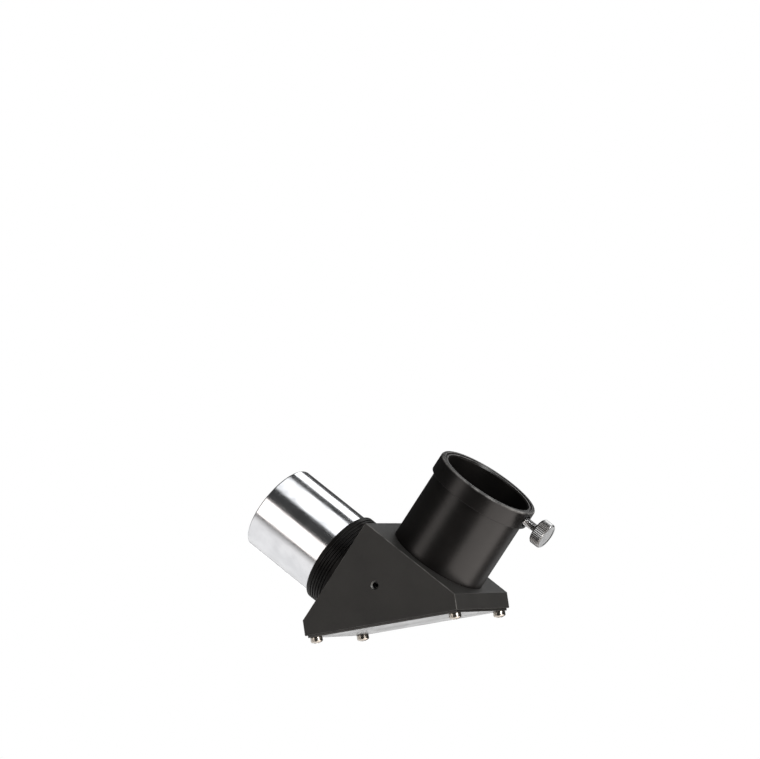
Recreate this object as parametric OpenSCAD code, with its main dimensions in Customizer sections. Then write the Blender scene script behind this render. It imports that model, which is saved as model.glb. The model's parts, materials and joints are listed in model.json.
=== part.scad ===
// Prism star diagonal for 1.25 inch telescopes and eyepieces.
// A right-angle prism sits in a three-sided housing. A nose slides into the
// telescope, and a socket with a thumbscrew holds the eyepiece.
//
// +X runs from the nose towards the housing and +Z runs up the eyepiece socket.
// The origin is on the nose's axis, at the shoulder where its barrel starts.

/* [Housing] */
// Length of each leg face, from the ridge to the blunt corner
leg_len = 41; // [40:0.5:44]
// Height of the blunt ends, square to the cover plate
end_h = 5.4; // [5:0.1:7]
// Width over the two side walls
housing_w = 43; // [41:0.5:48]
// Distance from the crossing of the two tube axes to each leg face
face_dist = 21.4; // [21.2:0.1:22.5]
// Height of the side set screws above the cover plate's seat
side_hole_h = 12.9; // [11:0.1:14]

/* [Cover plate] */
// Thickness of the cover plate
plate_t = 0.8; // [0.6:0.1:2]
// Step from the housing's edge in to the cover plate's edge
plate_inset = 0.7; // [0.3:0.1:1.5]
// Distance of the cover screws from the plate's centre, along the plate
cover_screw_u = 26.4; // [25.5:0.1:26.6]
// Distance of the cover screws from the plate's centre, across the plate
cover_screw_y = 18; // [17.8:0.1:18.4]
// Diameter of a cover screw's head
cover_head_d = 4.2; // [3.6:0.1:4.6]
// Height of a cover screw's head
cover_head_h = 2.2; // [1.4:0.1:2.6]

/* [Nose] */
// Outer diameter of the nose barrel
barrel_d = 31.7; // [31.6:0.05:31.75]
// Length of the nose barrel in front of its shoulder
barrel_len = 29; // [22:1:36]
// Hole through the filter thread's crests
filter_hole_d = 27.9; // [27.8:0.05:28]
// Depth of the filter thread
filter_depth = 6; // [4:0.5:8]
// Outer diameter of the nose collar
nose_collar_d = 34; // [33:0.1:35]
// Length of the nose collar, from the housing to the shoulder
nose_collar_len = 9.6; // [8:0.1:14]
// Number of grip grooves round the nose collar
nose_grooves = 5; // [3:1:6]

/* [Eyepiece socket] */
// Outer diameter of the holder tube
holder_d = 34.8; // [34.4:0.1:36]
// Height of the holder's mouth above its leg face
holder_len = 32.5; // [28:0.5:40]
// Bore that takes the eyepiece
socket_d = 31.9; // [31.8:0.05:32]
// Outer diameter of the clamp collar
clamp_d = 37.4; // [36.6:0.1:39]
// Height of the clamp collar
clamp_h = 6.5; // [6:0.5:9]

/* [Thumbscrew] */
// Bearing of the thumbscrew round the socket, from +X towards +Y
screw_bearing = 3; // [-30:1:30]
// Outer diameter of the thumbscrew's thread
screw_d = 2.9; // [2.5:0.1:3.1]
// Free length between the clamp collar and the head
screw_gap = 5; // [4.4:0.1:6]
// Diameter of the knurled head
head_d = 9.4; // [8:0.1:11]
// Length of the knurled head
head_len = 4.2; // [3.5:0.1:7]
// Number of knurls round the head
knurls = 44; // [24:4:60]

/* [Prism] */
// Side of the prism's two square leg faces
prism_leg = 30; // [28:0.5:30]
// Bevel along the prism's long edges
prism_bevel = 0.6; // [0.3:0.1:1]
// Thickness of the cork pads at the prism's sides
side_pad_t = 0.8; // [0.5:0.1:1.5]
// Thickness of the leaf spring behind the prism
spring_t = 0.4; // [0.2:0.1:0.6]

/* [Hidden] */
$fn = 96;
slip = 0.05;            // radial clearance between fitted round parts
cut = 1;                // how far a cutting solid runs past the face it opens

cross_x = nose_collar_len + face_dist;
half_long = leg_len / sqrt(2);
ridge_v = face_dist * sqrt(2);
seat_v = ridge_v - half_long - end_h;
plate_v = seat_v - plate_t;

prism_half = prism_leg / sqrt(2);
prism_w = prism_leg;
pocket_half = prism_half + 0.5;
pocket_w = prism_w + 2 * side_pad_t;
side_wall = (housing_w - pocket_w) / 2;

spigot_d = 31;
spigot_len = 3.6;
throat_d = 28.4;
baffle_t = 0.8;
baffle_hole_d = 26;
aperture_d = 27.2;
port_depth = spigot_len + baffle_t;

cover_shank_d = 2.5;
cover_hole_gap = 0.3;    // how much wider the plate's holes are than the shanks
cover_dome_r = 4.2;      // radius of the domed top of a cover screw's head
cover_shank_len = 6;
cover_recess_w = 0.7;
cover_recess_len = 2.3;
cover_recess_depth = 1;

side_screw_d = 2;
side_screw_len = 4;
side_screw_key = 1.3;
side_key_depth = 1.4;
side_chamfer_d = 3;

barrel_neck_d = 30;
barrel_neck_len = 6;
barrel_bore_d = 27.2;
barrel_chamfer = 0.5;

groove_pitch = 1.1;
groove_w = 0.5;
groove_depth = 0.45;
groove_start = 3;
collar_chamfer = 0.4;

socket_stop_h = 3;
holder_neck_d = 33.9;
holder_lip = 0.3;
mouth_chamfer = 0.5;
clamp_chamfer = 0.8;

screw_h = face_dist + holder_len - clamp_h / 2;
tip_r = 16;
tip_len = 0.6;
tip_d = 2.3;
stem_d = 1.2;
stem_len = 1.6;
head_r = clamp_d / 2 + screw_gap;
neck_d = 4.4;
neck_len = 0.4;
knurl_depth = 0.25;
head_chamfer = 0.5;

// ---- Places ----

// Origin where the tube axes cross, X along the cover plate, Z up to the ridge
module prism_frame() {
    translate([cross_x, 0, 0]) rotate([0, -45, 0]) children();
}

// Z runs out along the nose, from its leg face of the housing
module nose_frame() {
    translate([cross_x - face_dist, 0, 0]) rotate([0, -90, 0]) children();
}

// Z runs out along the socket, from its leg face of the housing
module socket_frame() {
    translate([cross_x, 0, face_dist]) children();
}

// Z runs out along the thumbscrew, from the socket's axis
module screw_frame() {
    translate([cross_x, 0, screw_h]) rotate([0, 0, screw_bearing]) rotate([0, 90, 0]) children();
}

// Z runs up through cover screw number i, from under the cover plate
module cover_screw_frame(i) {
    side_u = (i == 1 || i == 2) ? -1 : 1;
    side_y = (i == 1 || i == 3) ? -1 : 1;
    prism_frame() translate([side_u * cover_screw_u, side_y * cover_screw_y, plate_v]) children();
}

// Z runs in from the side wall on side -1 or +1, on the side screw's axis
module side_screw_frame(side) {
    prism_frame() translate([0, side * housing_w / 2, seat_v + side_hole_h])
        rotate([side * 90, 0, 0]) children();
}

// ---- Shapes that repeat ----

// Stands an outline in the XZ plane and thickens it both ways along Y
module across(w) {
    rotate([90, 0, 0]) linear_extrude(height = w, center = true) children();
}

module ring(d_out, d_in, h) {
    difference() {
        cylinder(d = d_out, h = h);
        translate([0, 0, -cut]) cylinder(d = d_in, h = h + 2 * cut);
    }
}

// Threaded recess for a tube and the light hole behind it, cut from a leg face
module port() {
    translate([0, 0, -port_depth]) cylinder(d = spigot_d + 2 * slip, h = port_depth + cut);
    translate([0, 0, prism_leg / 2 - face_dist - cut]) cylinder(d = aperture_d, h = face_dist);
}

// Light baffle: a thin ring at the bottom of a port
module baffle() {
    translate([0, 0, -port_depth]) ring(spigot_d, baffle_hole_d, baffle_t);
}

// ---- Housing and cover ----

module housing() {
    color("#2d2d2f") difference() {
        prism_frame() across(housing_w) polygon([
            [-half_long, seat_v],
            [-half_long, seat_v + end_h],
            [0, ridge_v],
            [half_long, seat_v + end_h],
            [half_long, seat_v]
        ]);
        prism_frame() across(pocket_w) polygon([
            [-pocket_half, seat_v - cut],
            [-pocket_half, prism_half - pocket_half],
            [0, prism_half],
            [pocket_half, prism_half - pocket_half],
            [pocket_half, seat_v - cut]
        ]);
        nose_frame() port();
        socket_frame() port();
        for (i = [1:4]) cover_screw_frame(i)
            cylinder(d = cover_shank_d + 2 * slip, h = cover_shank_len + cut);
        for (side = [-1, 1]) side_screw_frame(side) {
            translate([0, 0, -cut]) cylinder(d = side_screw_d + 2 * slip, h = side_wall + 2 * cut);
            translate([0, 0, -0.01])
                cylinder(d1 = side_chamfer_d, d2 = side_screw_d, h = (side_chamfer_d - side_screw_d) / 2);
        }
    }
}

module cover_plate() {
    color("#29292b") difference() {
        prism_frame() translate([0, 0, plate_v + plate_t / 2])
            cube([2 * (half_long - plate_inset), housing_w - 2 * plate_inset, plate_t], center = true);
        for (i = [1:4]) cover_screw_frame(i) translate([0, 0, -cut])
            cylinder(d = cover_shank_d + cover_hole_gap, h = plate_t + 2 * cut);
    }
}

// Pan-head screw with a cross recess
module cover_screw(i) {
    color("#c9c6bf") cover_screw_frame(i) {
        cylinder(d = cover_shank_d, h = cover_shank_len);
        difference() {
            mirror([0, 0, 1]) intersection() {
                cylinder(d = cover_head_d, h = cover_head_h);
                translate([0, 0, cover_head_h - cover_dome_r]) sphere(r = cover_dome_r);
            }
            for (turn = [0, 90]) rotate([0, 0, turn])
                translate([0, 0, -cover_head_h])
                    cube([cover_recess_len, cover_recess_w, 2 * cover_recess_depth], center = true);
        }
    }
}

// Grub screw with a hexagon socket, sunk in the side wall against the cork pad
module side_set_screw(side) {
    screw_in = side_wall - side_screw_len;
    color("#55565a") side_screw_frame(side) translate([0, 0, screw_in]) difference() {
        cylinder(d = side_screw_d, h = side_screw_len);
        translate([0, 0, -cut]) cylinder(d = side_screw_key, h = cut + side_key_depth, $fn = 6);
    }
}

// ---- Nose ----

module nose_barrel() {
    wall_end = barrel_len - barrel_chamfer;
    r_out = barrel_d / 2;
    r_bore = barrel_bore_d / 2;
    r_filter = filter_hole_d / 2;
    color("#c9ccd1") nose_frame() translate([0, 0, nose_collar_len]) rotate_extrude() polygon([
        [r_bore, -barrel_neck_len],
        [barrel_neck_d / 2, -barrel_neck_len],
        [barrel_neck_d / 2, 0],
        [r_out, 0],
        [r_out, wall_end],
        [r_out - barrel_chamfer, barrel_len],
        [r_filter, barrel_len],
        [r_filter, barrel_len - filter_depth],
        [r_bore, barrel_len - filter_depth]
    ]);
}

module nose_collar() {
    stop_z = nose_collar_len - barrel_neck_len;
    color("#1c1c1e") nose_frame() difference() {
        union() {
            translate([0, 0, -spigot_len]) cylinder(d = spigot_d, h = spigot_len + cut);
            cylinder(d = nose_collar_d, h = nose_collar_len - collar_chamfer);
            translate([0, 0, nose_collar_len - collar_chamfer])
                cylinder(d1 = nose_collar_d, d2 = nose_collar_d - 2 * collar_chamfer, h = collar_chamfer);
        }
        translate([0, 0, -spigot_len - cut]) cylinder(d = throat_d, h = spigot_len + stop_z + 2 * cut);
        translate([0, 0, stop_z]) cylinder(d = barrel_neck_d + 2 * slip, h = barrel_neck_len + cut);
        for (i = [0:nose_grooves - 1]) translate([0, 0, groove_start + i * groove_pitch])
            ring(nose_collar_d + 2 * cut, nose_collar_d - 2 * groove_depth, groove_w);
    }
}

module entrance_baffle() {
    color("#131314") nose_frame() baffle();
}

// ---- Eyepiece socket ----

module eyepiece_holder() {
    r_body = holder_d / 2;
    r_neck = holder_neck_d / 2;
    r_socket = socket_d / 2;
    shoulder_z = holder_len - clamp_h;
    lip_z = holder_len - holder_lip;
    color("#1e1e20") difference() {
        socket_frame() rotate_extrude() polygon([
            [throat_d / 2, -spigot_len],
            [spigot_d / 2, -spigot_len],
            [spigot_d / 2, 0],
            [r_body, 0],
            [r_body, shoulder_z],
            [r_neck, shoulder_z],
            [r_neck, lip_z],
            [r_socket + mouth_chamfer, lip_z],
            [r_socket, lip_z - mouth_chamfer],
            [r_socket, socket_stop_h],
            [throat_d / 2, socket_stop_h]
        ]);
        screw_hole();
    }
}

// Raised ring round the mouth, tapped for the thumbscrew
module clamp_collar() {
    r_in = holder_neck_d / 2 + slip;
    r_out = clamp_d / 2;
    color("#1a1a1c") difference() {
        socket_frame() translate([0, 0, holder_len - clamp_h]) rotate_extrude() polygon([
            [r_in, 0],
            [r_out - clamp_chamfer / 2, 0],
            [r_out, clamp_chamfer],
            [r_out, clamp_h - clamp_chamfer],
            [r_out - clamp_chamfer / 2, clamp_h],
            [r_in + 0.3, clamp_h],
            [r_in, clamp_h - 0.5]
        ]);
        screw_hole();
    }
}

module exit_baffle() {
    color("#131314") socket_frame() baffle();
}

// ---- Thumbscrew ----

module screw_hole() {
    overrun = 2;
    wall = (clamp_d - socket_d) / 2;
    screw_frame() translate([0, 0, socket_d / 2 - overrun])
        cylinder(d = screw_d + 2 * slip, h = wall + 2 * overrun);
}

// Outline of a straight knurl: a ring of small teeth
module knurl_outline(d) {
    polygon([for (i = [0:2 * knurls - 1])
        let (r = d / 2 - (i % 2) * knurl_depth, a = i * 180 / knurls)
        [r * cos(a), r * sin(a)]
    ]);
}

module thumbscrew() {
    stud_start = tip_r + tip_len + slip;
    color("#cfcbc2") screw_frame() difference() {
        union() {
            translate([0, 0, stud_start]) cylinder(d = screw_d, h = head_r - stud_start + cut);
            translate([0, 0, head_r - neck_len]) cylinder(d = neck_d, h = neck_len + cut);
            translate([0, 0, head_r]) intersection() {
                linear_extrude(height = head_len) knurl_outline(head_d);
                rotate_extrude() polygon([
                    [0, 0],
                    [head_d / 2 - head_chamfer, 0],
                    [head_d / 2 + 0.1, head_chamfer + 0.1],
                    [head_d / 2 + 0.1, head_len - head_chamfer - 0.1],
                    [head_d / 2 - head_chamfer, head_len],
                    [0, head_len]
                ]);
            }
        }
        translate([0, 0, stud_start - cut]) cylinder(d = stem_d + 2 * slip, h = stem_len + 0.2 + cut);
    }
}

// Nylon tip that the thumbscrew pushes and turns in
module clamp_tip() {
    color("#e9e6dc") screw_frame() translate([0, 0, tip_r]) {
        cylinder(d = tip_d, h = tip_len);
        cylinder(d = stem_d, h = tip_len + stem_len);
    }
}

// ---- Prism and what holds it ----

module prism() {
    b = prism_bevel;
    color("#bcd7de") prism_frame() across(prism_w) polygon([
        [-prism_half + b, 0],
        [-prism_half + b / 2, b / 2],
        [-b / 2, prism_half - b / 2],
        [b / 2, prism_half - b / 2],
        [prism_half - b / 2, b / 2],
        [prism_half - b, 0]
    ]);
}

// Leaf spring, bowed between the cover plate and the prism's long face
module prism_spring() {
    half_span = 17;
    width = 10;
    bow = -seat_v - spring_t - 0.1;
    bow_r = (half_span * half_span + bow * bow) / (2 * bow);
    half_angle = asin(half_span / bow_r);
    color("#9b9ea3") prism_frame() translate([0, 0, seat_v + bow_r + slip]) rotate([90, 0, 0])
        rotate([0, 0, 270 - half_angle]) rotate_extrude(angle = 2 * half_angle)
            translate([bow_r - spring_t, -width / 2]) square([spring_t, width]);
}

// Cork pad between the prism's side and the housing, on side -1 or +1
module side_pad(side) {
    middle_y = side * (prism_w + side_pad_t) / 2;
    color("#8a6a44") prism_frame() translate([0, middle_y, 0]) across(side_pad_t) polygon([
        [-12, 2],
        [12, 2],
        [2, 15],
        [-2, 15]
    ]);
}

housing();
cover_plate();
cover_screw(1);  // cover_screw_1
cover_screw(2);  // cover_screw_2
cover_screw(3);  // cover_screw_3
cover_screw(4);  // cover_screw_4
nose_barrel();
nose_collar();
entrance_baffle();
eyepiece_holder();
clamp_collar();
exit_baffle();
thumbscrew();
clamp_tip();
prism();
prism_spring();
side_pad(-1);  // side_pad_1
side_pad(1);  // side_pad_2
side_set_screw(-1);  // side_set_screw_1
side_set_screw(1);  // side_set_screw_2
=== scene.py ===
import json
import math

import bmesh
import bpy
from mathutils import Matrix, Vector


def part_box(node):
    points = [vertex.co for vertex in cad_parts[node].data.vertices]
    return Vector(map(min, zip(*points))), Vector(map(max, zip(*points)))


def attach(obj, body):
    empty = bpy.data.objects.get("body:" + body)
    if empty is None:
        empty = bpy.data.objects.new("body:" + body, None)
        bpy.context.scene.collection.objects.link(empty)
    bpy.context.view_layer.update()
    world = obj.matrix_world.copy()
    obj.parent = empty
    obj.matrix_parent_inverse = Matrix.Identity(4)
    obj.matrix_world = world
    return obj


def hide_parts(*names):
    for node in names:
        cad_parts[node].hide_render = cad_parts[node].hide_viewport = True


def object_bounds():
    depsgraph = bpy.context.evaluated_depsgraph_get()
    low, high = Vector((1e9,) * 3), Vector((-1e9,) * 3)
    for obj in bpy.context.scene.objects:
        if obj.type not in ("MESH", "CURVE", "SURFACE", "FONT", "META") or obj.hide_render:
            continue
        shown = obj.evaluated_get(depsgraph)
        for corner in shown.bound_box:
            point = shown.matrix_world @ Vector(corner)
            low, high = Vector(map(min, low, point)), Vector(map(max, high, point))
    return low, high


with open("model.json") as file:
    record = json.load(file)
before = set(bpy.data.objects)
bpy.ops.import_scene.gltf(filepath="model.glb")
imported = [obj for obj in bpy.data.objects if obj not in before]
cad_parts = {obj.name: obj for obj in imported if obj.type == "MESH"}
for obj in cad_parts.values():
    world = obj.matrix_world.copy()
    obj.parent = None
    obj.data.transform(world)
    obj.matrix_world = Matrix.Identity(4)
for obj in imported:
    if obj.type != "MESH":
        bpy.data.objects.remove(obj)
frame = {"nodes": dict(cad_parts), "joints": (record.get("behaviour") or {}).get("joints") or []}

CAD_LOW, CAD_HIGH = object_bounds()
MM = 0.001
ROOT_2 = math.sqrt(2)

# ---------------------------------------------------------------------------
# Places, in millimetres, read from the CAD frame
# ---------------------------------------------------------------------------


def box_mm(node):
    low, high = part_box(node)
    return low / MM, high / MM


housing_low, housing_high = box_mm("housing")
holder_low, holder_high = box_mm("eyepiece_holder")
clamp_low, clamp_high = box_mm("clamp_collar")
nose_high = box_mm("nose_collar")[1]
barrel_low, barrel_high = box_mm("nose_barrel")
plate_high = box_mm("cover_plate")[1]

CROSS_X = (holder_low.x + holder_high.x) / 2      # where the two tube axes cross
FACE_DIST = housing_high.z                        # from the crossing to each leg face
HOUSING_W = housing_high.y - housing_low.y
END_H = 5.4                                       # height of the blunt ends
RIDGE_V = FACE_DIST * ROOT_2                      # the ridge, above the crossing
BLUNT_REACH = (housing_high.x - CROSS_X) * ROOT_2
HALF_LONG = (RIDGE_V - END_H + BLUNT_REACH) / 2
SEAT_V = HALF_LONG - BLUNT_REACH                  # the cover plate's seat, below the crossing
PLATE_T = 0.8
SIDE_HOLE_V = SEAT_V + 12.9
POCKET_W = 31.6
PRISM_HALF = 30 / ROOT_2
POCKET_HALF = PRISM_HALF + 0.5

SPIGOT_R = 15.5
SPIGOT_LEN = FACE_DIST - holder_low.z
PORT_DEPTH = SPIGOT_LEN + 0.8
APERTURE_R = 13.6
THROAT_R = 14.2
SIDE_HOLE_R = 1.05
COUNTERSINK_R = 1.6
COVER_HOLE_R = 1.3                                # in the housing, for a cover screw's shank
PLATE_HOLE_R = 1.4
FIT = 0.05                                        # radial clearance between fitted round parts

HOLDER_R = (holder_high.x - holder_low.x) / 2
CLAMP_R = (clamp_high.x - clamp_low.x) / 2
CLAMP_BASE = clamp_low.z - FACE_DIST
CLAMP_TOP = clamp_high.z - FACE_DIST
HOLDER_TOP = holder_high.z - FACE_DIST
SOCKET_R = 15.95
NECK_R = 16.95

NOSE_R = nose_high.y
NOSE_LEN = housing_low.x
BARREL_R = barrel_high.y
BARREL_LEN = -barrel_low.x
BARREL_BORE_R = 13.6
FILTER_R = 13.95
FILTER_DEPTH = 6.0
FILTER_PITCH = 0.6
BARREL_NECK_R = 15.0
BARREL_NECK_LEN = 6.0

turn_joint = next(j for j in frame["joints"] if j["name"] == "thumbscrew_turn")
SCREW_BEARING = math.atan2(turn_joint["axis"][1], turn_joint["axis"][0])
SCREW_H = turn_joint["pos_m"][2] / MM - FACE_DIST
STUD_R = 1.45
STUD_PITCH = 0.5
STUD_START = 16.65
TIP_START = 16.0
HEAD_START = CLAMP_R + 5.0
HEAD_LEN = 4.2
HEAD_R = 4.7
KNURLS = 44

# ---------------------------------------------------------------------------
# Frames: where each piece's own axes stand in the row frame
# ---------------------------------------------------------------------------


def place(x, y, z, *turns):
    matrix = Matrix.Translation(Vector((x, y, z)) * MM)
    for degrees, axis in turns:
        matrix = matrix @ Matrix.Rotation(math.radians(degrees), 4, axis)
    return matrix


PRISM_FRAME = place(CROSS_X, 0, 0, (-45, "Y"))
NOSE_FRAME = place(NOSE_LEN, 0, 0, (-90, "Y"))
SOCKET_FRAME = place(CROSS_X, 0, FACE_DIST)
SCREW_FRAME = place(CROSS_X, 0, FACE_DIST + SCREW_H, (math.degrees(SCREW_BEARING), "Z"), (90, "Y"))


def side_frame(side):
    """Z runs in from the side wall, on the side screw's axis."""
    return PRISM_FRAME @ place(0, side * HOUSING_W / 2, SIDE_HOLE_V, (side * 90, "X"))


def cover_screw_frame(number):
    """Z runs out of the screw's head, from the cover plate's outer face."""
    low, high = box_mm(f"cover_screw_{number}")
    middle = (low + high) / 2
    along = (middle.x - CROSS_X + middle.z) / ROOT_2
    return PRISM_FRAME @ place(along, middle.y, SEAT_V - PLATE_T, (180, "X"))


# ---------------------------------------------------------------------------
# Mesh tools
# ---------------------------------------------------------------------------


def fillet(corners, steps=5):
    """Closed outline from (x, y, radius) corners, each rounded by an arc of its radius."""
    outline = []
    count = len(corners)
    for i, (x, y, radius) in enumerate(corners):
        here = Vector((x, y))
        if radius <= 0:
            outline.append((x, y))
            continue
        to_last = (Vector(corners[i - 1][:2]) - here).normalized()
        to_next = (Vector(corners[(i + 1) % count][:2]) - here).normalized()
        half = to_last.angle(to_next) / 2
        centre = here + (to_last + to_next).normalized() * radius / math.sin(half)
        start = here + to_last * radius / math.tan(half) - centre
        end = here + to_next * radius / math.tan(half) - centre
        first = math.atan2(start.y, start.x)
        sweep = (math.atan2(end.y, end.x) - first + math.pi) % (2 * math.pi) - math.pi
        for k in range(steps + 1):
            angle = first + sweep * k / steps
            outline.append((centre.x + radius * math.cos(angle), centre.y + radius * math.sin(angle)))
    return outline


def divided(start, end, count):
    """The points between two (r, z) points, start included, end left out."""
    return [
        (start[0] + (end[0] - start[0]) * k / count, start[1] + (end[1] - start[1]) * k / count)
        for k in range(count)
    ]


def make_object(name, bm, matrix):
    """Turns a mesh made in millimetres into an object in metres."""
    bmesh.ops.remove_doubles(bm, verts=bm.verts, dist=1e-5)
    bmesh.ops.recalc_face_normals(bm, faces=bm.faces)
    bm.transform(Matrix.Scale(MM, 4))
    mesh = bpy.data.meshes.new(name)
    bm.to_mesh(mesh)
    bm.free()
    obj = bpy.data.objects.new(name, mesh)
    bpy.context.scene.collection.objects.link(obj)
    obj.matrix_world = matrix
    return obj


def lathe(name, outline, matrix, segments=160, warp=None):
    """Turns a closed (r, z) outline round Z. warp(r, z, angle) gives a point's new radius."""
    bm = bmesh.new()
    rings = []
    for r, z in outline:
        ring = []
        for k in range(segments):
            angle = 2 * math.pi * k / segments
            radius = warp(r, z, angle) if warp else r
            ring.append(bm.verts.new((radius * math.cos(angle), radius * math.sin(angle), z)))
        rings.append(ring)
    for a, b in zip(rings, rings[1:] + rings[:1]):
        for k in range(segments):
            m = (k + 1) % segments
            bm.faces.new((a[k], a[m], b[m], b[k]))
    return make_object(name, bm, matrix)


def loft(name, rings, matrix):
    """Skins a stack of closed rings of points, with a flat cap at each end."""
    bm = bmesh.new()
    skins = [[bm.verts.new(point) for point in ring] for ring in rings]
    for a, b in zip(skins, skins[1:]):
        for k in range(len(a)):
            m = (k + 1) % len(a)
            bm.faces.new((a[k], a[m], b[m], b[k]))
    bm.faces.new(skins[0])
    bm.faces.new(skins[-1])
    return make_object(name, bm, matrix)


def slab(name, corners, low, high, edge, matrix, upright):
    """A plate of the outline given by corners, from low to high, with its long edges rounded by edge.

    The outline lies in XZ and the plate is thick along Y if upright, else it lies in XY."""
    steps = 4
    rings = []
    levels = [(low, 1), (high, -1)]
    for level, inward in levels:
        for k in range(steps + 1):
            turn = math.pi / 2 * (k if inward > 0 else steps - k) / steps
            shrink = edge * (1 - math.sin(turn))
            depth = level + inward * edge * (1 - math.cos(turn))
            outline = fillet(inset(corners, shrink))
            rings.append([(x, depth, y) if upright else (x, y, depth) for x, y in outline])
    return loft(name, rings, matrix)


def inset(corners, distance):
    """Moves each side of a convex outline of (x, y, radius) corners in by distance."""
    if distance == 0:
        return corners
    moved = []
    count = len(corners)
    middle = sum((Vector(c[:2]) for c in corners), Vector((0, 0))) / count
    for i, (x, y, radius) in enumerate(corners):
        here = Vector((x, y))
        to_last = (Vector(corners[i - 1][:2]) - here).normalized()
        to_next = (Vector(corners[(i + 1) % count][:2]) - here).normalized()
        half = to_last.angle(to_next) / 2
        inward = (to_last + to_next).normalized()
        if inward.dot(middle - here) < 0:
            inward.negate()
        point = here + inward * distance / math.sin(half)
        moved.append((point.x, point.y, max(radius - distance, 0.02)))
    return moved


def rod(radius, low, high, matrix, sides=96, far_radius=None):
    """A plain round or tapered cutter along Z, used to open holes."""
    far = radius if far_radius is None else far_radius
    step = 2 * math.pi / sides
    rings = [
        [(r * math.cos(step * k), r * math.sin(step * k), z) for k in range(sides)]
        for r, z in ((radius, low), (far, high))
    ]
    return loft("cutter", rings, matrix)


def bake_modifiers(obj):
    bpy.context.view_layer.update()
    graph = bpy.context.evaluated_depsgraph_get()
    mesh = bpy.data.meshes.new_from_object(obj.evaluated_get(graph))
    obj.modifiers.clear()
    obj.data = mesh


def cut(obj, cutters):
    for cutter in cutters:
        boolean = obj.modifiers.new("cut", "BOOLEAN")
        boolean.operation = "DIFFERENCE"
        boolean.solver = "EXACT"
        boolean.object = cutter
    bake_modifiers(obj)
    for cutter in cutters:
        bpy.data.objects.remove(cutter)


def smooth(obj, sharp_degrees=35):
    """Smooth shading that keeps flats flat: each normal follows the larger faces."""
    obj.data.shade_smooth()
    obj.data.set_sharp_from_angle(angle=math.radians(sharp_degrees))
    weighted = obj.modifiers.new("normals", "WEIGHTED_NORMAL")
    weighted.keep_sharp = True
    bake_modifiers(obj)


def paint(obj, name, value):
    """Stores value(middle of the face, in the piece's own millimetres) on each face, for the material."""
    layer = obj.data.attributes.new(name, "FLOAT", "FACE")
    layer.data.foreach_set("value", [value(face.center / MM) for face in obj.data.polygons])


def rim_wear_and_highlight(*rims):
    """Edge wear and painted highlight that is 1 on the circles given as (r, z, reach) and fades out over
    reach.
    """

    def edge_wear_and_highlight(point):
        r = math.hypot(point.x, point.y)
        return max([0.0] + [1 - math.hypot(r - rim[0], point.z - rim[1]) / rim[2] for rim in rims])

    return edge_wear_and_highlight


def add_piece(obj, body, slot, nodes, *materials):
    for material in materials:
        obj.data.materials.append(material)
    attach(obj, body)
    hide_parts(*nodes)


# ---------------------------------------------------------------------------
# Materials
# ---------------------------------------------------------------------------


class Paint:
    """A node material. Its texture coordinates are the piece's own, in metres."""

    def __init__(self, name, **constants):
        self.material = bpy.data.materials.new(name)
        self.material.use_nodes = True
        self.tree = self.material.node_tree
        self.shader = self.tree.nodes["Principled BSDF"]
        self.coords = self.tree.nodes.new("ShaderNodeTexCoord").outputs["Object"]
        for socket, value in constants.items():
            self.shader.inputs[socket.replace("_", " ")].default_value = value

    def node(self, kind, inputs, **settings):
        made = self.tree.nodes.new("ShaderNode" + kind)
        for key, value in settings.items():
            setattr(made, key, value)
        for key, value in inputs.items():
            if isinstance(value, bpy.types.NodeSocket):
                self.tree.links.new(value, made.inputs[key])
            else:
                made.inputs[key].default_value = value
        return made

    def noise(self, size_mm, detail=3.0, stretch=(1, 1, 1), roughness=0.55):
        """Noise whose blotches measure about size_mm, and stretch times as long along each axis."""
        scale = tuple(1 / s for s in stretch)
        mapped = self.node("Mapping", {"Vector": self.coords, "Scale": scale})
        inputs = {"Vector": mapped.outputs[0], "Scale": 1 / (size_mm * MM), "Detail": detail}
        made = self.node("TexNoise", {**inputs, "Roughness": roughness})
        return made.outputs["Fac"]

    def spread(self, value, low, high, out_low=0.0, out_high=1.0):
        made = self.node(
            "MapRange",
            {"Value": value, "From Min": low, "From Max": high, "To Min": out_low, "To Max": out_high},
        )
        return made.outputs["Result"]

    def maths(self, operation, a, b=0.0):
        return self.node("Math", {0: a, 1: b}, operation=operation).outputs[0]

    def attribute(self, name):
        return self.node("Attribute", {}, attribute_name=name).outputs["Fac"]

    def bump(self, height, depth_mm, under=None):
        inputs = {"Height": height, "Distance": depth_mm * MM, "Strength": 1.0}
        if under is not None:
            inputs["Normal"] = under
        return self.node("Bump", inputs).outputs["Normal"]

    def set(self, **sockets):
        for name, value in sockets.items():
            self.tree.links.new(value, self.shader.inputs[name.replace("_", " ")])
        return self.material


def mix_rgba(paint_, factor, a, b):
    """Colour mix: the Mix node's colour sockets are its later ones."""
    made = paint_.tree.nodes.new("ShaderNodeMix")
    made.data_type = "RGBA"
    paint_.tree.links.new(factor, made.inputs[0])
    for socket, value in ((made.inputs[6], a), (made.inputs[7], b)):
        if isinstance(value, bpy.types.NodeSocket):
            paint_.tree.links.new(value, socket)
        else:
            socket.default_value = (*value, 1.0)
    return made.outputs[2]


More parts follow.
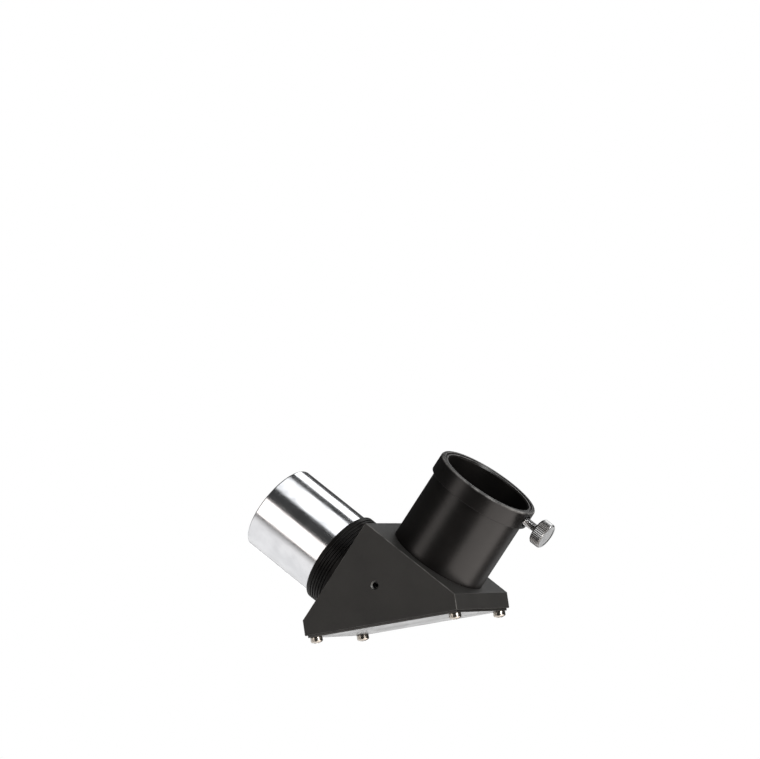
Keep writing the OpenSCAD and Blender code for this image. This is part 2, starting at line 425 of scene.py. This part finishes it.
def housing_paint():
    """Satin stoving paint over a casting, with a fine grain; its edges are lighter, partly from wear and
    partly as a painted highlight.
    """
    p = Paint("housing_paint", Specular_IOR_Level=0.30)
    cloud = p.spread(p.noise(16, 2), 0.35, 0.65)
    grain = p.noise(0.20, 3)
    peel = p.noise(0.8, 2)
    # Lighter edge colour: partly worn paint, partly a painted highlight along the edges.
    rubbed_and_highlight = p.maths("MULTIPLY", p.attribute("edge_wear_and_highlight"), p.spread(p.noise(4, 5), 0.30, 0.70))
    body = mix_rgba(p, cloud, (0.0140, 0.0136, 0.0127), (0.0185, 0.0180, 0.0168))
    colour = mix_rgba(p, rubbed_and_highlight, body, (0.20, 0.196, 0.185))
    rough = p.maths("SUBTRACT", p.spread(grain, 0.3, 0.7, 0.42, 0.58), p.maths("MULTIPLY", rubbed_and_highlight, 0.14))
    normal = p.bump(peel, 0.0035, p.bump(grain, 0.004))
    return p.set(Base_Color=colour, Roughness=rough, Normal=normal)


def black_anodise(name="black_anodise", nose_painted_shade=False):
    """Black anodised aluminium, turned on a lathe: faint rings run round the piece's Z axis."""
    # The nose version has a very low specular level and a darker rim colour: painted shade on the nose
    # collar.
    p = Paint(name, Specular_IOR_Level=0.07 if nose_painted_shade else 0.30)
    rings = p.noise(0.10, 2, stretch=(60, 60, 1))
    cloud = p.spread(p.noise(9, 3), 0.35, 0.65)
    # Lighter rim colour: partly wear, partly a painted highlight on rims and rib edges.
    rubbed_and_highlight = p.maths("MULTIPLY", p.attribute("edge_wear_and_highlight"), p.spread(p.noise(3, 5), 0.30, 0.70))
    body = mix_rgba(p, cloud, (0.0038, 0.0034, 0.0032), (0.0060, 0.0053, 0.0050))
    colour = mix_rgba(p, rubbed_and_highlight, body, (0.24, 0.236, 0.228) if not nose_painted_shade else (0.09, 0.088, 0.085))
    graze = p.node("LayerWeight", {"Blend": 0.5}).outputs["Facing"]
    haze = p.maths("MULTIPLY", p.maths("POWER", graze, 3.0), 0.35)
    rough = p.maths("ADD", p.spread(rings, 0.3, 0.7, 0.28, 0.36), haze)
    return p.set(Base_Color=colour, Roughness=rough, Normal=p.bump(rings, 0.0012))


def chrome():
    """Chrome plate with fine lengthwise marks from sliding in and out."""
    p = Paint("barrel_chrome", Metallic=1.0)
    marks = p.noise(0.12, 3, stretch=(1, 1, 60))
    haze = p.spread(p.noise(7, 3), 0.4, 0.65)
    rough = p.maths("ADD", p.spread(marks, 0.40, 0.75, 0.12, 0.22), p.maths("MULTIPLY", haze, 0.05))
    colour = mix_rgba(p, haze, (0.64, 0.65, 0.67), (0.56, 0.57, 0.59))
    return p.set(Base_Color=colour, Roughness=rough, Normal=p.bump(marks, 0.0003))


def nickel(name, clean, dull):
    """Nickel plate, darker in the hollows of knurl, thread and recess."""
    p = Paint(name, Metallic=1.0)
    haze = p.spread(p.noise(1.6, 4), 0.35, 0.7)
    # Darker colour in the hollows, graded by depth on the knurl.
    hollow_dark = p.maths("MULTIPLY", p.attribute("hollow_dark"), p.spread(p.noise(0.5, 3), 0.3, 0.6, 0.6, 1.0))
    colour = mix_rgba(p, hollow_dark, mix_rgba(p, haze, clean, dull), (0.055, 0.052, 0.047))
    rough = p.maths("ADD", p.spread(haze, 0.0, 1.0, 0.16, 0.26), p.maths("MULTIPLY", hollow_dark, 0.25))
    return p.set(Base_Color=colour, Roughness=rough, Normal=p.bump(p.noise(0.14, 3), 0.0012))


def cover_paint():
    """Satin black paint on rolled sheet: smoother than the casting, with the sheet's grain just showing."""
    p = Paint("cover_paint", Specular_IOR_Level=0.42)
    roll = p.noise(0.14, 3, stretch=(70, 1, 1))
    smudge = p.spread(p.noise(10, 3), 0.38, 0.68)
    rubbed_and_highlight = p.maths("MULTIPLY", p.attribute("edge_wear_and_highlight"), p.spread(p.noise(4, 5), 0.35, 0.75))
    body = mix_rgba(p, smudge, (0.0120, 0.0115, 0.0110), (0.0175, 0.0168, 0.0160))
    colour = mix_rgba(p, rubbed_and_highlight, body, (0.07, 0.069, 0.065))
    rough = p.maths("ADD", p.spread(roll, 0.3, 0.7, 0.27, 0.36), p.maths("MULTIPLY", smudge, 0.08))
    return p.set(Base_Color=colour, Roughness=rough, Normal=p.bump(roll, 0.0006))


def flat_black(name):
    """Dead black paint inside the light path."""
    p = Paint(name, Specular_IOR_Level=0.12)
    speck = p.noise(0.25, 4)
    colour = mix_rgba(p, p.spread(speck, 0.3, 0.7), (0.005, 0.005, 0.005), (0.011, 0.011, 0.011))
    rough = p.spread(speck, 0.3, 0.7, 0.75, 0.92)
    return p.set(Base_Color=colour, Roughness=rough, Normal=p.bump(speck, 0.015))


def prism_glass():
    """Polished crown glass, with its two side faces ground and blackened."""
    p = Paint("prism_glass", IOR=1.517)
    inner_side = (POCKET_W / 2 - 0.85) * MM
    across = p.node("SeparateXYZ", {"Vector": p.coords}).outputs["Y"]
    side = p.maths("GREATER_THAN", p.maths("ABSOLUTE", across), inner_side)
    ground = p.noise(0.05, 3)
    clear = p.maths("SUBTRACT", 1.0, side)
    colour = mix_rgba(p, side, (0.93, 0.985, 0.97), (0.012, 0.012, 0.012))
    rough = p.maths("ADD", p.spread(ground, 0.0, 1.0, 0.0, 0.012), p.maths("MULTIPLY", side, 0.6))
    return p.set(Base_Color=colour, Roughness=rough, Transmission_Weight=clear)


def bare_metal():
    """Cast metal laid bare by a drill after painting, dulled since."""
    p = Paint("bare_metal", Metallic=1.0)
    swirl = p.noise(0.15, 4)
    colour = mix_rgba(p, p.spread(swirl, 0.3, 0.7), (0.05, 0.05, 0.05), (0.12, 0.12, 0.115))
    rough = p.spread(swirl, 0.3, 0.7, 0.35, 0.55)
    return p.set(Base_Color=colour, Roughness=rough, Normal=p.bump(swirl, 0.006))


def cork():
    p = Paint("cork", Roughness=0.9)
    crumb = p.noise(0.9, 5, roughness=0.7)
    colour = mix_rgba(p, p.spread(crumb, 0.35, 0.65), (0.20, 0.11, 0.05), (0.52, 0.36, 0.20))
    return p.set(Base_Color=colour, Normal=p.bump(crumb, 0.08))


def spring_steel():
    p = Paint("spring_steel", Metallic=1.0)
    roll = p.noise(0.08, 3, stretch=(1, 70, 1))
    colour = mix_rgba(p, p.spread(roll, 0.3, 0.7), (0.30, 0.32, 0.36), (0.44, 0.46, 0.50))
    rough = p.spread(roll, 0.3, 0.7, 0.24, 0.38)
    return p.set(Base_Color=colour, Roughness=rough, Normal=p.bump(roll, 0.002))


def black_oxide():
    p = Paint("grub_steel", Metallic=0.6)
    oil = p.noise(0.4, 4)
    colour = mix_rgba(p, p.spread(oil, 0.35, 0.65), (0.020, 0.020, 0.022), (0.055, 0.052, 0.050))
    rough = p.spread(oil, 0.3, 0.7, 0.30, 0.48)
    return p.set(Base_Color=colour, Roughness=rough, Normal=p.bump(oil, 0.004))


def nylon():
    p = Paint("nylon", Subsurface_Weight=0.25, Specular_IOR_Level=0.4)
    mould = p.noise(0.3, 3)
    colour = mix_rgba(p, p.spread(mould, 0.3, 0.7), (0.74, 0.71, 0.62), (0.82, 0.80, 0.73))
    rough = p.spread(mould, 0.3, 0.7, 0.42, 0.58)
    return p.set(Base_Color=colour, Roughness=rough, Normal=p.bump(mould, 0.006))


HOUSING_PAINT = housing_paint()
BARE_METAL = bare_metal()
ANODISE = black_anodise()
# Nose collar material, darkened as painted shade.
NOSE_SHADED_ANODISE = black_anodise("nose_black", nose_painted_shade=True)
CHROME = chrome()
NICKEL = nickel("screw_nickel", (0.50, 0.50, 0.50), (0.38, 0.38, 0.38))
WARM_NICKEL = nickel("pan_nickel", (0.46, 0.425, 0.385), (0.34, 0.315, 0.275))
COVER_PAINT = cover_paint()
BARREL_BLACK = flat_black("barrel_black")
BAFFLE_BLACK = flat_black("baffle_black")

# ---------------------------------------------------------------------------
# Housing and cover
# ---------------------------------------------------------------------------


def build_housing():
    edge = 0.30
    corner = 0.35
    blunt = 0.22
    drill_depth = 8
    screw_depth = 7
    outline = [
        (-HALF_LONG, SEAT_V, 0.25),
        (-HALF_LONG, SEAT_V + END_H, blunt),
        (0, RIDGE_V, corner),
        (HALF_LONG, SEAT_V + END_H, blunt),
        (HALF_LONG, SEAT_V, 0.25),
    ]
    pocket = [
        (-POCKET_HALF, SEAT_V - 1, 0.1),
        (-POCKET_HALF, PRISM_HALF - POCKET_HALF, 0.4),
        (0, PRISM_HALF, 0.1),
        (POCKET_HALF, PRISM_HALF - POCKET_HALF, 0.4),
        (POCKET_HALF, SEAT_V - 1, 0.1),
    ]
    half = HOUSING_W / 2
    body = slab("housing_body", outline, -half, half, edge, PRISM_FRAME, upright=True)
    cutters = [slab("cutter", pocket, -POCKET_W / 2, POCKET_W / 2, 0.05, PRISM_FRAME, upright=True)]
    for port_frame in (NOSE_FRAME, SOCKET_FRAME):
        cutters.append(rod(SPIGOT_R + FIT, -PORT_DEPTH, 1, port_frame))
        cutters.append(rod(APERTURE_R, -drill_depth, 1, port_frame))
    for side in (-1, 1):
        cutters.append(rod(SIDE_HOLE_R, -1, screw_depth, side_frame(side), 48))
        cutters.append(rod(COUNTERSINK_R, -0.1, 0.45, side_frame(side), 48, far_radius=SIDE_HOLE_R))
    for number in range(1, 5):
        cutters.append(rod(COVER_HOLE_R, -screw_depth, 1, cover_screw_frame(number), 48))
    cut(body, cutters)
    smooth(body, 32)

    legs = (Vector((-1, 0, 1)).normalized(), Vector((1, 0, 1)).normalized())

    def edge_wear_and_highlight(point):
        """1 where two outer faces meet, and less on the cover plate's rim and the blunt corners; it drives
        the edge wear and painted highlight.
        """
        gaps = [
            half - abs(point.y),
            HALF_LONG - abs(point.x),
            point.z - SEAT_V,
            FACE_DIST - point.dot(legs[0]),
            FACE_DIST - point.dot(legs[1]),
        ]
        second = sorted(abs(g) for g in gaps)[1]
        # Less wear and less painted highlight along the cover plate's rim and at the blunt corners.
        dim_edge = gaps[2] < 0.5 or max(gaps[1], min(gaps[3], gaps[4])) < edge
        return max(0.0, 1 - second / edge) * (0.15 if dim_edge else 1.0)

    paint(body, "edge_wear_and_highlight", edge_wear_and_highlight)
    for polygon in body.data.polygons:
        middle = polygon.center / MM
        near_hole = math.hypot(middle.x, middle.z - SIDE_HOLE_V) < COUNTERSINK_R - 0.02
        in_wall = abs(middle.y) > POCKET_W / 2 + 0.1
        polygon.material_index = 1 if near_hole and in_wall else 0
    add_piece(body, "diagonal", "housing_paint", ["housing"], HOUSING_PAINT, BARE_METAL)


def build_cover_plate():
    half_y = plate_high.y
    half_u = HALF_LONG - (HOUSING_W / 2 - half_y)
    corner = 0.45
    outline = [
        (-half_u, -half_y, corner),
        (half_u, -half_y, corner),
        (half_u, half_y, corner),
        (-half_u, half_y, corner),
    ]
    plate = slab("cover_plate_sheet", outline, SEAT_V - PLATE_T, SEAT_V, 0.12, PRISM_FRAME, upright=False)
    cut(plate, [rod(PLATE_HOLE_R, -3, 3, cover_screw_frame(number), 48) for number in range(1, 5)])
    smooth(plate)
    paint(plate, "edge_wear_and_highlight", lambda p: 0.3 if half_u - abs(p.x) < 0.1 or half_y - abs(p.y) < 0.1 else 0.0)
    add_piece(plate, "diagonal", "cover_paint", ["cover_plate"], COVER_PAINT)


def build_cover_screw(number):
    """Pan head with a cross recess, and a threaded shank in the housing."""
    head_r, head_h, dome_r, shoulder_r = 2.1, 2.2, 4.2, 0.6
    shank_r, shank_len, pitch = 1.25, 6.0, 0.45
    tangent = math.asin((head_r - shoulder_r) / (dome_r - shoulder_r))
    shoulder_z = head_h - dome_r + (dome_r - shoulder_r) * math.cos(tangent)
    dome = [
        (dome_r * math.sin(a), head_h - dome_r + dome_r * math.cos(a))
        for a in (tangent * k / 12 for k in range(12))
    ]
    shoulder = [
        (head_r - shoulder_r + shoulder_r * math.sin(a), shoulder_z + shoulder_r * math.cos(a))
        for a in (tangent + (math.pi / 2 - tangent) * k / 8 for k in range(9))
    ]
    skirt = [(head_r, 0.14), (head_r - 0.14, 0.0)]
    thread_end = -shank_len + 0.4
    shank = divided((shank_r, 0), (shank_r, thread_end), 84)
    point_end = [(shank_r, thread_end), (shank_r - 0.3, -shank_len), (0, -shank_len)]
    outline = dome + shoulder + skirt + shank + point_end

    def thread(r, z, angle):
        if z >= -0.2 or z <= thread_end:
            return r
        phase = (z / pitch - angle / (2 * math.pi)) % 1
        return r - 0.22 * abs(2 * phase - 1)

    screw = lathe(f"cover_screw_{number}_pan", outline, cover_screw_frame(number), 64, thread)
    recess = []
    clocking = 20 + 37 * number
    for turn in (0, 90):
        matrix = cover_screw_frame(number) @ Matrix.Rotation(math.radians(clocking + turn), 4, "Z")
        rings = [
            [(sx * long, sy * wide, z) for sx, sy in ((-1, -1), (1, -1), (1, 1), (-1, 1))]
            for long, wide, z in ((0.55, 0.20, head_h - 1.25), (1.25, 0.36, head_h + 0.2))
        ]
        recess.append(loft("cutter", rings, matrix))
    cut(screw, recess)
    smooth(screw, 30)

    # Marks the cross recess, which the nickel paint makes darker.
    def hollow_dark(point):
        in_recess = 0.3 < point.z < head_h - 0.75 and math.hypot(point.x, point.y) < 1.0
        return 1.0 if in_recess else 0.0

    paint(screw, "hollow_dark", hollow_dark)
    add_piece(screw, "diagonal", "screw_nickel", [f"cover_screw_{number}"], WARM_NICKEL)


# ---------------------------------------------------------------------------
# Nose
# ---------------------------------------------------------------------------


def build_nose_collar():
    """Ribbed shoulder: five rounded grooves between four lands."""
    first, pitch, width, depth = 3.0, 1.1, 0.5, 0.45
    seat_z = NOSE_LEN - BARREL_NECK_LEN
    corners = [
        (THROAT_R, -SPIGOT_LEN, 0.1),
        (SPIGOT_R, -SPIGOT_LEN, 0.25),
        (SPIGOT_R, 0.0, 0.0),
        (NOSE_R, 0.0, 0.12),
    ]
    for k in range(5):
        low = first + k * pitch
        corners += [
            (NOSE_R, low, 0.12),
            (NOSE_R - depth, low + 0.04, 0.12),
            (NOSE_R - depth, low + width - 0.04, 0.12),
            (NOSE_R, low + width, 0.12),
        ]
    corners += [
        (NOSE_R, NOSE_LEN, 0.4),
        (BARREL_NECK_R + FIT, NOSE_LEN, 0.1),
        (BARREL_NECK_R + FIT, seat_z, 0.0),
        (THROAT_R, seat_z, 0.0),
    ]
    collar = lathe("nose_collar_ribbed", fillet(corners, 4), NOSE_FRAME, 192)
    smooth(collar, 50)
    # The rib edges and the mouth's rim get the lighter rim colour: partly wear, partly a painted highlight.
    lands = [(NOSE_R, first + k * pitch + edge_z, 0.16) for k in range(5) for edge_z in (0.0, width)]
    paint(collar, "edge_wear_and_highlight", rim_wear_and_highlight((NOSE_R, NOSE_LEN, 0.5), *lands))
    add_piece(collar, "diagonal", "nose_black", ["nose_collar"], NOSE_SHADED_ANODISE)


def build_nose_barrel():
    """Chromed tube with a real filter thread in its mouth, blackened inside."""
    base = NOSE_LEN
    mouth = base + BARREL_LEN
    thread_end = mouth - FILTER_DEPTH
    outer = [
        (BARREL_BORE_R, base - BARREL_NECK_LEN, 0.1),
        (BARREL_NECK_R, base - BARREL_NECK_LEN, 0.2),
        (BARREL_NECK_R, base, 0.0),
        (BARREL_R, base, 0.08),
        (BARREL_R, mouth, 0.5),
        (FILTER_R + 0.45, mouth, 0.0),
    ]
    outline = fillet(outer, 6)
    outline += divided((FILTER_R, mouth - 0.5), (FILTER_R, thread_end + 0.3), 88)
    outline += [(FILTER_R, thread_end + 0.3), (FILTER_R, thread_end), (BARREL_BORE_R, thread_end)]

    def filter_thread(r, z, angle):
        if abs(r - FILTER_R) > 0.01 or z <= thread_end + 0.3:
            return r
        phase = (z / FILTER_PITCH - angle / (2 * math.pi)) % 1
        fade = min(1.0, (z - thread_end - 0.3) / 0.6)
        return r + 0.30 * fade * (1 - abs(2 * phase - 1))

    barrel = lathe("nose_barrel_tube", outline, NOSE_FRAME, 192, filter_thread)
    smooth(barrel, 40)
    paint(barrel, "edge_wear_and_highlight", rim_wear_and_highlight((BARREL_R, mouth, 0.6)))
    for polygon in barrel.data.polygons:
        middle = polygon.center / MM
        inside = math.hypot(middle.x, middle.y) < FILTER_R + 0.32
        polygon.material_index = 1 if inside and middle.z < mouth - 0.1 else 0
    add_piece(barrel, "diagonal", "barrel_chrome", ["nose_barrel"], CHROME, BARREL_BLACK)


# ---------------------------------------------------------------------------
# Eyepiece socket
# ---------------------------------------------------------------------------


def screw_hole():
    return rod(STUD_R + FIT, SOCKET_R - 2, CLAMP_R + 1, SCREW_FRAME, 40)


def build_holder():
    stop = 3.0
    outline = fillet(
        [
            (THROAT_R, -SPIGOT_LEN, 0.1),
            (SPIGOT_R, -SPIGOT_LEN, 0.25),
            (SPIGOT_R, 0.0, 0.0),
            (HOLDER_R, 0.0, 0.18),
            (HOLDER_R, CLAMP_BASE, 0.30),
            (NECK_R, CLAMP_BASE, 0.0),
            (NECK_R, HOLDER_TOP, 0.22),
            (SOCKET_R + 0.35, HOLDER_TOP, 0.18),
            (SOCKET_R, HOLDER_TOP - 0.6, 0.25),
            (SOCKET_R, stop, 0.1),
            (THROAT_R, stop, 0.15),
        ],
        5,
    )
    holder = lathe("eyepiece_holder_tube", outline, SOCKET_FRAME, 192)
    cut(holder, [screw_hole()])
    smooth(holder, 40)
    # The socket lip and the neck's top edge get the lighter rim colour: partly wear, partly a painted
    # highlight.
    paint(holder, "edge_wear_and_highlight", rim_wear_and_highlight((SOCKET_R + 0.35, HOLDER_TOP, 0.30), (NECK_R, HOLDER_TOP, 0.20)))
    add_piece(holder, "diagonal", "black_anodise", ["eyepiece_holder"], ANODISE)


def build_clamp_collar():
    """Raised ring with a full round top edge, standing over a fine shadow line."""
    outline = fillet(
        [
            (NECK_R + FIT, CLAMP_BASE, 0.0),
            (CLAMP_R, CLAMP_BASE, 0.20),
            (CLAMP_R, CLAMP_TOP, 0.95),
            (NECK_R + 0.38, CLAMP_TOP, 0.22),
            (NECK_R + FIT, CLAMP_TOP - 0.55, 0.1),
        ],
        8,
    )
    collar = lathe("clamp_collar_ring", outline, SOCKET_FRAME, 192)
    cut(collar, [screw_hole(), rod(2.1, CLAMP_R - 0.45, CLAMP_R + 0.1, SCREW_FRAME, 40, far_radius=2.1)])
    smooth(collar, 40)
    # The round top edge and the inner lip get the lighter rim colour: partly wear, partly a painted
    # highlight.
    rims = ((CLAMP_R - 0.28, CLAMP_TOP - 0.28, 0.55), (NECK_R + 0.38, CLAMP_TOP, 0.25))
    paint(collar, "edge_wear_and_highlight", rim_wear_and_highlight(*rims))
    add_piece(collar, "diagonal", "black_anodise", ["clamp_collar"], ANODISE)


# ---------------------------------------------------------------------------
# Thumbscrew
# ---------------------------------------------------------------------------


def build_thumbscrew():
    """One turned piece: threaded stud, neck and knurled head with a dished face."""
    head_end = HEAD_START + HEAD_LEN
    thread_end = HEAD_START - 0.9
    valley = 0.30
    bevel = 0.55
    stem_r, relief_r, neck_r = 0.65, 1.2, 2.2
    outline = [(stem_r, STUD_START), (STUD_R - 0.25, STUD_START), (STUD_R, STUD_START + 0.25)]
    outline += divided((STUD_R, STUD_START + 0.26), (STUD_R, thread_end), 112)
    outline += [(STUD_R, thread_end), (relief_r, thread_end + 0.12), (relief_r, HEAD_START - 0.4)]
    outline += [(neck_r, HEAD_START - 0.38), (neck_r, HEAD_START), (HEAD_R - bevel, HEAD_START)]
    outline += divided((HEAD_R, HEAD_START + bevel), (HEAD_R, head_end - bevel), 6)
    outline += [(HEAD_R, head_end - bevel), (HEAD_R - bevel * 0.85, head_end)]
    outline += [(HEAD_R - bevel - 0.35, head_end)]
    face_r, mark = HEAD_R - bevel - 0.75, 0.14
    turning = [(face_r - mark * k, head_end - 0.12 - 0.022 * (k % 2)) for k in range(int(face_r / mark))]
    outline += turning + [(0, head_end - 0.12)]
    outline += [(0, STUD_START + 1.8), (stem_r, STUD_START + 1.8)]

    def shape(r, z, angle):
        if abs(r - STUD_R) < 1e-6 and z <= thread_end:
            phase = (z / STUD_PITCH - angle / (2 * math.pi)) % 1
            return r - 0.20 * abs(2 * phase - 1)
        if abs(r - HEAD_R) < 1e-6:
            tooth = abs(2 * ((angle * KNURLS / (2 * math.pi)) % 1) - 1)
            return r - valley * max(0.0, tooth - 0.12) / 0.88
        return r

    screw = lathe("thumbscrew_turned", outline, SCREW_FRAME, KNURLS * 8, shape)
    smooth(screw, 24)

    # Darker towards the bottom of each knurl valley, and on the thread's roots.
    def hollow_dark(point):
        r = math.hypot(point.x, point.y)
        on_knurl = HEAD_START + bevel * 0.5 < point.z < head_end - bevel * 0.5 and r > HEAD_R - valley - 0.05
        on_thread = point.z < thread_end and r < STUD_R - 0.15
        return min(1.0, (HEAD_R - r) / valley) * 0.9 if on_knurl else 0.8 if on_thread else 0.0

    paint(screw, "hollow_dark", hollow_dark)
    add_piece(screw, "screw", "screw_nickel", ["thumbscrew"], NICKEL)


def build_clamp_tip():
    tip_end = TIP_START + 0.6
    outline = fillet(
        [
            (0, TIP_START, 0),
            (1.15, TIP_START, 0.2),
            (1.15, tip_end, 0.08),
            (0.6, tip_end, 0.0),
            (0.6, tip_end + 1.6, 0.1),
            (0, tip_end + 1.6, 0),
        ],
        4,
    )
    tip = lathe("clamp_tip_pad", outline, SCREW_FRAME, 48)
    smooth(tip)
    add_piece(tip, "tip", "nylon", ["clamp_tip"], nylon())


# ---------------------------------------------------------------------------
# CAD nodes that keep their own shape
# ---------------------------------------------------------------------------


def finish_cad_nodes():
    oxide, cork_sheet = black_oxide(), cork()
    finishes = {
        "prism": prism_glass(),
        "prism_spring": spring_steel(),
        "side_pad_1": cork_sheet,
        "side_pad_2": cork_sheet,
        "side_set_screw_1": oxide,
        "side_set_screw_2": oxide,
        "entrance_baffle": BAFFLE_BLACK,
        "exit_baffle": BAFFLE_BLACK,
    }
    for node, material in finishes.items():
        for slot in frame["nodes"][node].material_slots:
            slot.material = material


build_housing()
build_cover_plate()
for screw_number in range(1, 5):
    build_cover_screw(screw_number)
build_nose_collar()
build_nose_barrel()
build_holder()
build_clamp_collar()
build_thumbscrew()
build_clamp_tip()
finish_cad_nodes()

# ---------------------------------------------------------------------------
# Studio: pale floor, soft lights and the camera
# ---------------------------------------------------------------------------

FLOOR_Z = -0.55
CENTRE = (CAD_LOW + CAD_HIGH) / 2


def build_floor():
    """A round sheet of pale paper, well below the part.

    It fades into the white backdrop, and is clear from below."""
    radius = 1.1
    bm = bmesh.new()
    bmesh.ops.create_circle(bm, cap_ends=True, segments=96, radius=radius)
    mesh = bpy.data.meshes.new("floor")
    bm.to_mesh(mesh)
    bm.free()
    floor = bpy.data.objects.new("floor", mesh)
    bpy.context.scene.collection.objects.link(floor)
    floor.location = (CENTRE.x, CENTRE.y, FLOOR_Z)
    p = Paint("floor_paper", Roughness=0.9, Specular_IOR_Level=0.1)
    tone = mix_rgba(p, p.spread(p.noise(300, 2), 0.3, 0.7), (0.90, 0.90, 0.90), (0.92, 0.92, 0.92))
    reach = p.node("VectorMath", {0: p.coords}, operation="LENGTH").outputs["Value"]
    fade = p.spread(reach, 0.55 * radius, 0.97 * radius, 1.0, 0.0)
    above = p.maths("SUBTRACT", 1.0, p.node("NewGeometry", {}).outputs["Backfacing"])
    mesh.materials.append(p.set(Base_Color=tone, Alpha=p.maths("MULTIPLY", fade, above)))


def softbox(name, azimuth, elevation, distance, size, watts, aim=CENTRE, colour=(1, 1, 1)):
    """An area light facing aim. Azimuth 0 stands on the -Y side and 90 on the +X side."""
    a, e = math.radians(azimuth), math.radians(elevation)
    away = Vector((math.sin(a) * math.cos(e), -math.cos(a) * math.cos(e), math.sin(e)))
    data = bpy.data.lights.new(name, "AREA")
    data.shape = "RECTANGLE"
    data.size, data.size_y = size
    data.energy = watts
    data.color = colour
    lamp = bpy.data.objects.new(name, data)
    bpy.context.scene.collection.objects.link(lamp)
    lamp.location = Vector(aim) + away * distance
    lamp.rotation_mode = "QUATERNION"
    lamp.rotation_quaternion = away.to_track_quat("Z", "Y")
    lamp.visible_camera = False


def build_world(seen, lit):
    """A seamless white backdrop, as bright as seen to the camera and as lit to everything else."""
    world = bpy.data.worlds.new("studio")
    world.use_nodes = True
    tree = world.node_tree
    background = tree.nodes["Background"]
    background.inputs["Color"].default_value = (1, 1, 1, 1)
    path = tree.nodes.new("ShaderNodeLightPath")
    level = tree.nodes.new("ShaderNodeMapRange")
    level.inputs["To Min"].default_value = lit
    level.inputs["To Max"].default_value = seen
    tree.links.new(path.outputs["Is Camera Ray"], level.inputs["Value"])
    tree.links.new(level.outputs["Result"], background.inputs["Strength"])
    bpy.context.scene.world = world


def build_camera():
    azimuth, elevation, roll = 22.413, 13.203, 32.60
    place_m = (0.59036, -1.48728, 0.43600)
    data = bpy.data.cameras.new("camera")
    data.sensor_width = 36.0
    data.lens = 227.69
    data.clip_start, data.clip_end = 0.05, 50
    camera = bpy.data.objects.new("camera", data)
    bpy.context.scene.collection.objects.link(camera)
    camera.matrix_world = (
        Matrix.Translation(place_m)
        @ Matrix.Rotation(math.radians(azimuth), 4, "Z")
        @ Matrix.Rotation(math.radians(90 - elevation), 4, "X")
        @ Matrix.Rotation(math.radians(roll), 4, "Z")
    )
    bpy.context.scene.camera = camera


WARM = (1.0, 0.93, 0.885)

build_floor()
build_world(seen=1.0, lit=0.05)
softbox("key", 84, -2, 0.9, (1.3, 0.95), 11.5, colour=WARM)
softbox("fill", -28, -6, 1.1, (0.44, 0.8), 2.7, colour=WARM)
softbox("rim", 53, 46, 1.4, (0.45, 0.45), 9)
softbox("overhead", 0, 76, 1.6, (1.5, 1.5), 17)
softbox("back", -170, 42, 1.6, (1.2, 0.8), 8)
softbox("underside", -164, -22.5, 1.6, (0.9, 0.48), 2.6)
softbox("card", 165, -13, 1.2, (0.5, 0.4), 0.5)
softbox("floor_wash", 0, 90, 0.42, (1.6, 1.6), 4, aim=(CENTRE.x, CENTRE.y, FLOOR_Z))
build_camera()

bpy.context.scene.view_settings.view_transform = "Standard"
